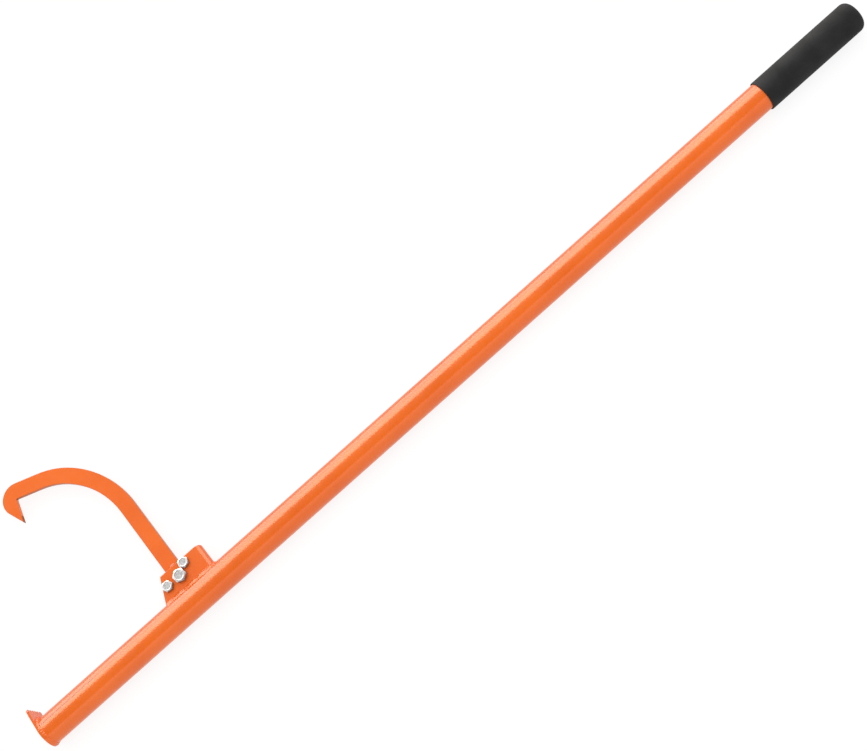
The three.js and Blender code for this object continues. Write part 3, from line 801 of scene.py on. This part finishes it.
def addShank(bm, size, low, high):
    # One outline of teeth is spun while it climbs by its pitch, cut square, and chamfered at the tip
    pitch, radius = size["pitch"], size["radius"]
    root = radius - thread["rootShare"] * pitch
    threadTop = -bracket["cheekOutside"] - thread["startGap"]
    start = low - thread["leadIn"] * pitch
    teeth = math.ceil((threadTop - low) / pitch) + 2
    body = bmesh.new()
    verts = []
    for tooth in range(teeth):
        base = start + tooth * pitch
        verts.append(body.verts.new((root, 0, base)))
        verts += [body.verts.new((radius, 0, base + share * pitch)) for share in thread["crestShares"]]
    verts.append(body.verts.new((root, 0, start + teeth * pitch)))
    edges = [body.edges.new(pair) for pair in zip(verts, verts[1:])]
    bmesh.ops.spin(body, geom=verts + edges, cent=(0, 0, 0), axis=(0, 0, 1), angle=fullTurn,
                   steps=thread["around"], dvec=(0, 0, pitch / thread["around"]), use_merge=False,
                   use_duplicate=False)
    bmesh.ops.remove_doubles(body, verts=body.verts, dist=samePoint)
    for plane, way in ((low, -1), (threadTop, 1)):
        bmesh.ops.bisect_plane(body, geom=wholeOf(body), plane_co=(0, 0, plane), plane_no=(0, 0, way),
                               clear_outer=True)
    bmesh.ops.holes_fill(body, edges=body.edges[:], sides=0)
    for vert in body.verts:
        reach = vert.co.to_2d().length
        most = radius - radius * thread["chamferShare"] + (vert.co.z - low)
        if reach > most:
            vert.co.x *= most / reach
            vert.co.y *= most / reach
    plainLow = threadTop - thread["overlap"]
    turned(body, [(0, plainLow), (radius, plainLow), (radius, high), (0, high)], thread["around"])
    carry = bpy.data.meshes.new("carry")
    body.to_mesh(carry)
    body.free()
    bm.from_mesh(carry)
    bpy.data.meshes.remove(carry)


# Lock nuts: a hexagon with a round collar that is rolled over a nylon ring

nut = {"hexShare": 0.66, "countersink": 0.6, "collarShare": 0.96, "collarWall": 0.7, "lip": 0.7,
       "neck": (0.1, 0.15), "shoulder": (0.35, 0.6), "roll": (0.75, 0.1), "lipRound": (0.35, 0.1),
       "slack": 0.05, "insertHeight": 2.2, "insertGap": 0.1}


def nutPlaces(size):
    # What the nut and its ring share: the nut's end, the collar's radius and the pocket's
    end = bracket["cheekOutside"] + wholeLever["seatGap"] + size["nut"]
    collar = size["flats"] * nut["collarShare"] / 2
    return end, collar, collar - nut["collarWall"]


def makeNut(name):
    size = bolts[name]
    end, collar, pocket = nutPlaces(size)
    seat = bracket["cheekOutside"] + hexagon["seat"]
    hexEnd = seat + size["nut"] * nut["hexShare"]
    lip = pocket - wholeLever["seatGap"]
    bore = size["radius"] + wholeLever["seatGap"]
    pocketHigh = end - nut["lip"]
    pocketLow = pocketHigh - nut["insertHeight"] - 2 * wholeLever["seatGap"]
    neckIn, neckUp = nut["neck"]
    shoulderIn, shoulderDown = nut["shoulder"]
    rollIn, rollUp = nut["roll"]
    lipOut, lipDown = nut["lipRound"]
    slack = nut["slack"]
    bm = bmesh.new()
    rings = roundRings([(bore, seat + nut["countersink"]), (bore + nut["countersink"], seat)])
    rings += hexRings(size["flats"], seat, hexEnd, -math.radians(size["nutTurn"]), True)
    rings += roundRings([
        (collar - neckIn, hexEnd + neckUp), (collar - shoulderIn, pocketHigh - shoulderDown),
        (collar - rollIn, pocketHigh + rollUp), (lip + lipOut, end), (lip, end - lipDown),
        (lip, pocketHigh), (pocket - slack, pocketHigh - slack), (pocket - slack, pocketLow),
        (bore, pocketLow)])
    growRings(bm, rings)
    # The two ends open into the bore
    ends = [face for face in bm.faces if len(face.verts) == hexagon["around"]]
    bmesh.ops.delete(bm, geom=ends, context="FACES_ONLY")
    bmesh.ops.bridge_loops(bm, edges=[edge for edge in bm.edges if len(edge.link_faces) == 1])
    bmesh.ops.rotate(bm, cent=(0, 0, 0), matrix=Matrix.Rotation(math.pi, 3, "X"), verts=bm.verts)
    bmesh.ops.translate(bm, vec=(size["x"], size["y"], 0), verts=bm.verts)
    finishPiece(bm, f"{name}_nut", "lever", [silver], smoothing["hexagon"])


insertRound = {"thread": 0.3, "rim": 0.25, "mouth": 0.4, "around": 48}


def makeInsert(name):
    size = bolts[name]
    end, _, pocket = nutPlaces(size)
    outer = pocket - wholeLever["seatGap"]
    inner = size["radius"] + nut["insertGap"]
    low = -end + nut["lip"] + wholeLever["seatGap"]
    high = low + nut["insertHeight"]
    deep, rim, mouth = insertRound["thread"], insertRound["rim"], insertRound["mouth"]
    bm = bmesh.new()
    turned(bm, [(inner + deep, high), (outer, high), (outer, low + rim), (outer - rim, low),
                (inner + mouth, low), (inner, low + mouth), (inner, high - deep), (inner + deep, high)],
           insertRound["around"], (size["x"], size["y"], 0))
    finishPiece(bm, f"{name}_nut_insert", "lever", [nylon])


washer = {"radius": 10, "thick": 2, "round": 0.25, "around": 64}


def makeWasher(name, side):
    low = hook["thick"] / 2 + wholeLever["seatGap"]
    high = low + washer["thick"]
    inner = bolts["pivot"]["radius"] + wholeLever["seatGap"]
    outer, edge = washer["radius"], washer["round"]
    bm = bmesh.new()
    turned(bm, [(inner + edge, low), (outer - edge, low), (outer, low + edge), (outer, high - edge),
                (outer - edge, high), (inner + edge, high), (inner, high - edge), (inner, low + edge),
                (inner + edge, low)], washer["around"], (pivot["x"], pivot["y"], 0))
    bmesh.ops.scale(bm, vec=(1, 1, side), verts=bm.verts)
    finishPiece(bm, name, "lever", [silver])


# Grip: a closed foam sleeve with a rounded end

grip = {"length": 153.3, "wall": 1.45, "endThick": 9.5, "endRound": 9, "lipRound": 0.5, "slack": 0.05,
        "lipShares": (0.4, 0.3), "rings": 12, "around": 128}


def makeGrip():
    bm = bmesh.new()
    end = wholeLever["length"]
    start = end - grip["length"]
    pocket = bar["radius"] + grip["slack"]
    outer = bar["radius"] + wholeLever["seatGap"] + grip["wall"]
    lip, rings = grip["lipRound"], grip["rings"]
    inLip, outLip = (lip * share for share in grip["lipShares"])
    profile = [(0, end - grip["endThick"]), (pocket, end - grip["endThick"]), (pocket, start + inLip),
               (pocket + inLip, start), (outer - lip, start), (outer - outLip, start + outLip),
               (outer, start + lip)]
    pitch = (grip["length"] - grip["endRound"]) / rings
    profile += [(outer, start + ring * pitch) for ring in range(1, rings)]
    for step in range(rings + 1):
        turn = quarterTurn * step / rings
        profile.append((outer - grip["endRound"] * (1 - math.cos(turn)),
                        end - grip["endRound"] * (1 - math.sin(turn))))
    profile.append((0, end))
    turned(bm, profile, grip["around"], axis="X")
    finishPiece(bm, "grip_sleeve", "lever", [black], smoothing["grip"])


makeBar()
makeToePlate()
makeToeWeld()
print("bar and toe made")
makeBracket()
makeCheekWeld(1, "bracket_weld_near")
makeCheekWeld(-1, "bracket_weld_far")
makeBendWeld()
print("bracket and welds made")
makeHook()
for boltName in bolts:
    makeBolt(boltName)
    makeNut(boltName)
    makeInsert(boltName)
makeWasher("pivot_washer_near", 1)
makeWasher("pivot_washer_far", -1)
makeGrip()
print("hook, bolts and grip made")


# Studio, in metres: a pale floor under the lever, one soft box for its even light, and cards that only
# gloss reflects. The dark ceiling shows in the metal

viewTurn = math.radians(23)
alongBar = Vector((1, 0, 0))
acrossView = Vector((0, math.cos(viewTurn), math.sin(viewTurn)))
towardsView = Vector((0, -math.sin(viewTurn), math.cos(viewTurn)))

floorLook = {"size": 30, "middle": 0.665, "drop": 0.0222, "colour": "#e9e9e9", "glow": 1.07, "shadow": 0.2}
# Heights are the Z of a direction. The ceiling is darkest behind the camera, towards the bar's plain side
sky = {"ambient": 0.79, "wallRange": (0.35, 0.65), "wall": (1.0, 1.5), "ceilingEdge": (0.69, 0.73),
       "ceilingRange": (-0.05, 0.25), "ceiling": (0.05, 0.45)}
# Angles are turned from the line of sight towards the hook's side. A lamp stands beside the point "along"
# on the bar and faces it, or the point "aim" where it has one. A card is a lamp with a colour, and where it
# has "onlyOn", flags keep it off everything else
lamps = {
    "keySoftbox": {"strength": 0.9, "angle": 36, "along": 0.95, "distance": 1.6,
                   "width": 2.8, "height": 2.0},
    "highCard": {"strength": 4.6, "angle": 94, "along": 0.85, "distance": 1.5,
                 "width": 3.6, "height": 0.975, "colour": "#fffbf0"},
    "lowCard": {"strength": 6.2, "angle": 60.75, "along": 0.85, "distance": 1.45,
                "width": 3.6, "height": 0.79, "colour": "#f1ffea",
                "onlyOn": ("bar_tube", "toe_weld", "bracket_weld_near", "bracket_weld_far",
                           "bracket_weld_bend")},
    "endCard": {"strength": 3.4, "angle": 74.5, "along": 1.757, "aim": 0.283, "distance": 0.879,
                "width": 0.6, "height": 1.66, "colour": "#fffbf0", "onlyOn": ("hook_bracket",)},
}


def seenRays(tree):
    # 1 for what the camera sees, straight or in gloss and glass, and 0 for the light on the object
    path = addNode(tree, "LightPath")
    seen = path["Is Camera Ray"]
    for kind in ("Is Glossy Ray", "Is Transmission Ray"):
        seen = addNode(tree, "Math", (seen, path[kind]), operation="MAXIMUM")["Value"]
    return seen


def makeFloor():
    bm = bmesh.new()
    bmesh.ops.create_grid(bm, x_segments=1, y_segments=1, size=floorLook["size"] / 2)
    bmesh.ops.translate(bm, vec=(floorLook["middle"], 0, -floorLook["drop"]), verts=bm.verts)
    mesh = bpy.data.meshes.new("floor")
    bm.to_mesh(mesh)
    bm.free()
    floor = bpy.data.objects.new("floor", mesh)
    bpy.context.scene.collection.objects.link(floor)
    # Pale matt card that mostly glows for the camera, and takes the lever's shadow with the rest
    material = bpy.data.materials.new("paleFloor")
    material.use_nodes = True
    tree = material.node_tree
    tree.nodes.clear()
    glow = addNode(tree, "Emission", {"Strength": floorLook["glow"]})["Emission"]
    plain = addNode(tree, "BsdfDiffuse", {"Color": linearColour(floorLook["colour"])})["BSDF"]
    share = addNode(tree, "Math", (seenRays(tree), 1 - floorLook["shadow"]), operation="MULTIPLY")["Value"]
    mixed = addNode(tree, "MixShader", (share, plain, glow))["Shader"]
    addNode(tree, "OutputMaterial", {"Surface": mixed})
    mesh.materials.append(material)


def makeWorld():
    world = bpy.data.worlds.new("studioWorld")
    bpy.context.scene.world = world
    world.use_nodes = True
    tree = world.node_tree
    tree.nodes.clear()
    way = addNode(tree, "SeparateXYZ", (addNode(tree, "TexCoord")["Generated"],))
    wall = addNode(tree, "MapRange", (way["Z"], *sky["wallRange"], *sky["wall"]))["Result"]
    ceiling = addNode(tree, "MapRange", (way["Y"], *sky["ceilingRange"], *sky["ceiling"]))["Result"]
    height = addNode(tree, "MapRange", (way["Z"], *sky["ceilingEdge"]))["Result"]
    shown = addNode(tree, "Mix", {"Factor": height, "A": wall, "B": ceiling}, data_type="FLOAT")["Result"]
    strength = addNode(tree, "Mix", {"Factor": seenRays(tree), "A": sky["ambient"], "B": shown},
                       data_type="FLOAT")["Result"]
    light = addNode(tree, "Background", {"Color": (1, 1, 1, 1), "Strength": strength})["Background"]
    addNode(tree, "OutputWorld", {"Surface": light})


def addLamp(name):
    look = lamps[name]
    turn = math.radians(look["angle"])
    away = towardsView * math.cos(turn) + acrossView * math.sin(turn)
    lamp = bpy.data.lights.new(name, "AREA")
    lamp.shape = "RECTANGLE"
    lamp.size, lamp.size_y = look["width"], look["height"]
    lamp.energy = look["strength"] * math.pi * look["width"] * look["height"]
    isCard = "colour" in look
    if isCard:
        lamp.color = linearColour(look["colour"])[:3]
    stand = bpy.data.objects.new(name, lamp)
    stand.location = alongBar * look["along"] + away * look["distance"]
    faced = alongBar * look.get("aim", look["along"])
    stand.rotation_euler = (faced - stand.location).to_track_quat("-Z", "Y").to_euler()
    stand.visible_diffuse = not isCard
    stand.visible_glossy = isCard
    bpy.context.scene.collection.objects.link(stand)
    if "onlyOn" in look:
        lit = bpy.data.collections.new(name + "Lights")
        for nodeName in look["onlyOn"]:
            lit.objects.link(bpy.data.objects[pieceName(nodeName)])
        stand.light_linking.receiver_collection = lit


cameraView = {"lens": 63.8, "sensor": 36, "alongBar": 0.6477, "across": 0.01206, "distance": 1.8868,
              "rollCos": 0.74716, "rollSin": 0.66464, "farthest": 50}


def makeCamera():
    data = bpy.data.cameras.new("photoCamera")
    data.sensor_fit = "HORIZONTAL"
    data.sensor_width = cameraView["sensor"]
    data.lens = cameraView["lens"]
    data.clip_end = cameraView["farthest"]
    camera = bpy.data.objects.new("photoCamera", data)
    right = alongBar * cameraView["rollCos"] - acrossView * cameraView["rollSin"]
    up = alongBar * cameraView["rollSin"] + acrossView * cameraView["rollCos"]
    camera.rotation_euler = Matrix((right, up, towardsView)).transposed().to_euler()
    camera.location = (alongBar * cameraView["alongBar"] + acrossView * cameraView["across"]
                       + towardsView * cameraView["distance"])
    bpy.context.scene.collection.objects.link(camera)
    bpy.context.scene.camera = camera


makeFloor()
makeWorld()
for lampName in lamps:
    addLamp(lampName)
makeCamera()
bpy.context.scene.view_settings.view_transform = "Standard"
print("studio and camera set")
